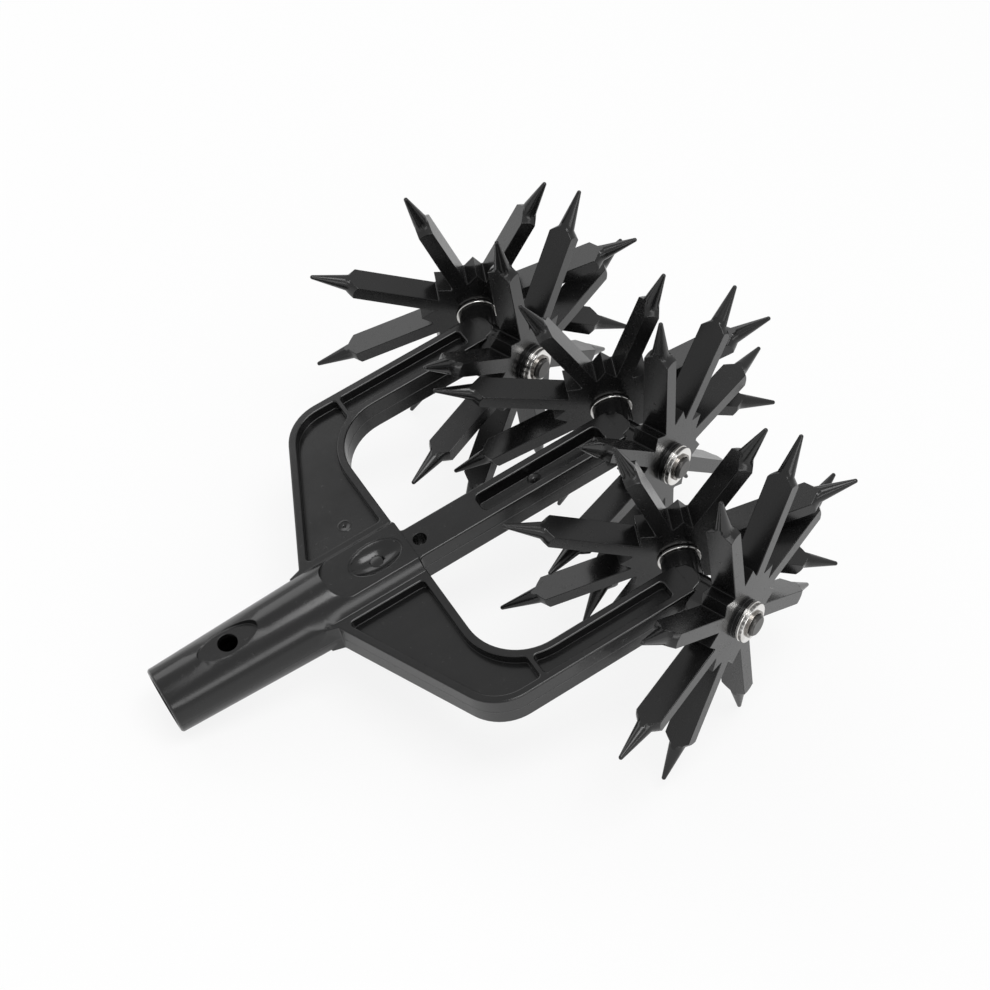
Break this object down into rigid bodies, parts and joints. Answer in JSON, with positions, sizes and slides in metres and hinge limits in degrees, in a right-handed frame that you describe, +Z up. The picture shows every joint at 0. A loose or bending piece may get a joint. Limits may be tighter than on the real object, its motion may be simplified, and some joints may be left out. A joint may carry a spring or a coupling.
{
  "type": "rotary cultivator",
  "caption": "Pole-mounted cultivator head: a black forked frame carrying splayed star wheels with pencil-point tines that pass through one another's gaps.",
  "frame": {"origin": "centre of the round pole socket's mouth", "axes": "+X forwards along the ground towards the star wheels, +Y to the left, +Z up; the head lies on flat ground on its socket's lower rim and its tine points"},
  "size_m": [0.2828, 0.248, 0.1514],
  "materials": {
    "fork_plastic": "satin",
    "wheel_plastic": "satin",
    "plated_steel": "polished",
    "black_steel": "satin"
  },
  "bodies": {
    "fork": {"fork": "fork_plastic", "axle_pin_left_outer": "black_steel", "thrust_washer_left_outer": "plated_steel", "wear_washer_left_outer": "plated_steel", "end_washer_left_outer": "plated_steel", "retaining_clip_left_outer": "plated_steel", "axle_pin_left_inner": "black_steel", "thrust_washer_left_inner": "plated_steel", "wear_washer_left_inner": "plated_steel", "end_washer_left_inner": "plated_steel", "retaining_clip_left_inner": "plated_steel", "axle_pin_middle_left": "black_steel", "thrust_washer_middle_left": "plated_steel", "wear_washer_middle_left": "plated_steel", "end_washer_middle_left": "plated_steel", "retaining_clip_middle_left": "plated_steel", "axle_pin_middle_right": "black_steel", "thrust_washer_middle_right": "plated_steel", "wear_washer_middle_right": "plated_steel", "end_washer_middle_right": "plated_steel", "retaining_clip_middle_right": "plated_steel", "axle_pin_right_inner": "black_steel", "thrust_washer_right_inner": "plated_steel", "wear_washer_right_inner": "plated_steel", "end_washer_right_inner": "plated_steel", "retaining_clip_right_inner": "plated_steel", "axle_pin_right_outer": "black_steel", "thrust_washer_right_outer": "plated_steel", "wear_washer_right_outer": "plated_steel", "end_washer_right_outer": "plated_steel", "retaining_clip_right_outer": "plated_steel"},
    "star_wheel_left_outer": {"star_wheel_left_outer": "wheel_plastic"},
    "star_wheel_left_inner": {"star_wheel_left_inner": "wheel_plastic"},
    "star_wheel_middle_left": {"star_wheel_middle_left": "wheel_plastic"},
    "star_wheel_middle_right": {"star_wheel_middle_right": "wheel_plastic"},
    "star_wheel_right_inner": {"star_wheel_right_inner": "wheel_plastic"},
    "star_wheel_right_outer": {"star_wheel_right_outer": "wheel_plastic"}
  },
  "joints": [
    {"name": "left_outer_wheel_spin", "type": "hinge", "parent": "fork", "child": "star_wheel_left_outer", "pos_m": [0.19129, 0.09573, 0.05839], "axis": [0.3583, 0.9272, 0.1094], "continuous": true},
    {"name": "left_inner_wheel_spin", "type": "hinge", "parent": "fork", "child": "star_wheel_left_inner", "pos_m": [0.19129, 0.05827, 0.05839], "axis": [-0.3583, 0.9272, -0.1094], "continuous": true},
    {"name": "middle_left_wheel_spin", "type": "hinge", "parent": "fork", "child": "star_wheel_middle_left", "pos_m": [0.20898, 0.01873, 0.06379], "axis": [0.3583, 0.9272, 0.1094], "continuous": true},
    {"name": "middle_right_wheel_spin", "type": "hinge", "parent": "fork", "child": "star_wheel_middle_right", "pos_m": [0.20898, -0.01873, 0.06379], "axis": [-0.3583, 0.9272, -0.1094], "continuous": true},
    {"name": "right_inner_wheel_spin", "type": "hinge", "parent": "fork", "child": "star_wheel_right_inner", "pos_m": [0.19129, -0.05827, 0.05839], "axis": [0.3583, 0.9272, 0.1094], "continuous": true},
    {"name": "right_outer_wheel_spin", "type": "hinge", "parent": "fork", "child": "star_wheel_right_outer", "pos_m": [0.19129, -0.09573, 0.05839], "axis": [-0.3583, 0.9272, -0.1094], "continuous": true}
  ],
  "couplings": [
    {"joint": "left_outer_wheel_spin", "follows": "middle_left_wheel_spin", "ratio": 1},
    {"joint": "left_inner_wheel_spin", "follows": "middle_left_wheel_spin", "ratio": 1},
    {"joint": "middle_right_wheel_spin", "follows": "middle_left_wheel_spin", "ratio": 1},
    {"joint": "right_inner_wheel_spin", "follows": "middle_left_wheel_spin", "ratio": 1},
    {"joint": "right_outer_wheel_spin", "follows": "middle_left_wheel_spin", "ratio": 1}
  ]
}
